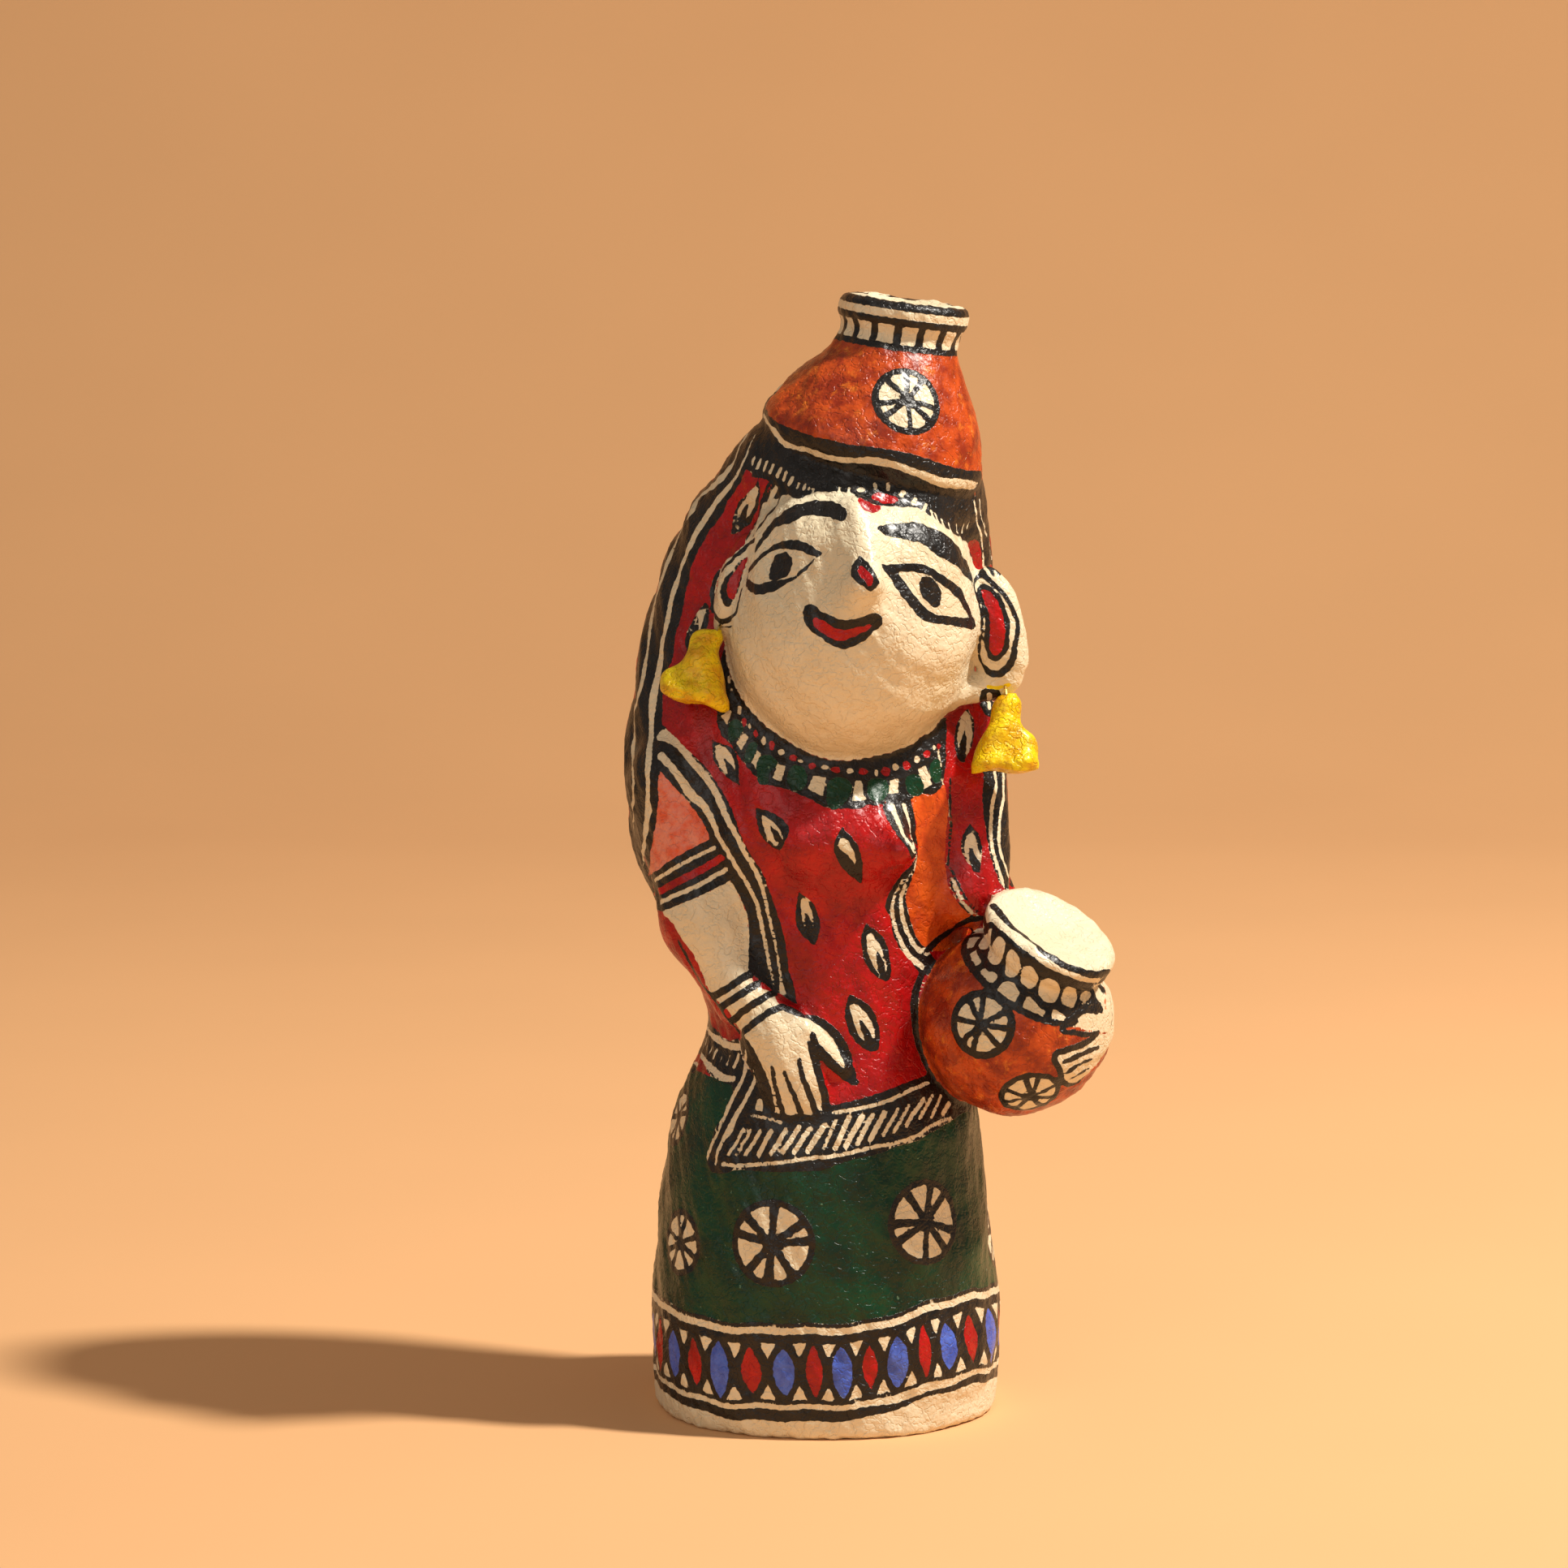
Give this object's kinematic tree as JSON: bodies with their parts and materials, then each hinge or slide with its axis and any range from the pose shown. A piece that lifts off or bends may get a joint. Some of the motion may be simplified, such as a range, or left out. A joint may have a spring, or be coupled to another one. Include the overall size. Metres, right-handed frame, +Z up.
{
  "type": "papier-mache figure",
  "caption": "Standing papier-mache water carrier in a painted veil and skirt, with a pot on the head, a pot held at the hip, and earrings that hang from wire rings.",
  "frame": {"origin": "middle of the flat underside that the figure stands on", "axes": "+Z up, the figure faces -Y, and +X points to the figure's own left, the side of the pot on the hip"},
  "size_m": [0.1254, 0.0912, 0.2891],
  "materials": {
    "pulp": "hand-painted pressed paper pulp under a thin gloss varnish",
    "yellow_pulp": "yellow paint on pressed paper pulp, varnished",
    "wire": "thin drawn wire, lightly tarnished"
  },
  "bodies": {
    "root": {"figure": "pulp", "earring_left": "yellow_pulp", "earring_right": "yellow_pulp", "earring_ring_left": "wire", "earring_ring_right": "wire"}
  },
  "joints": []
}
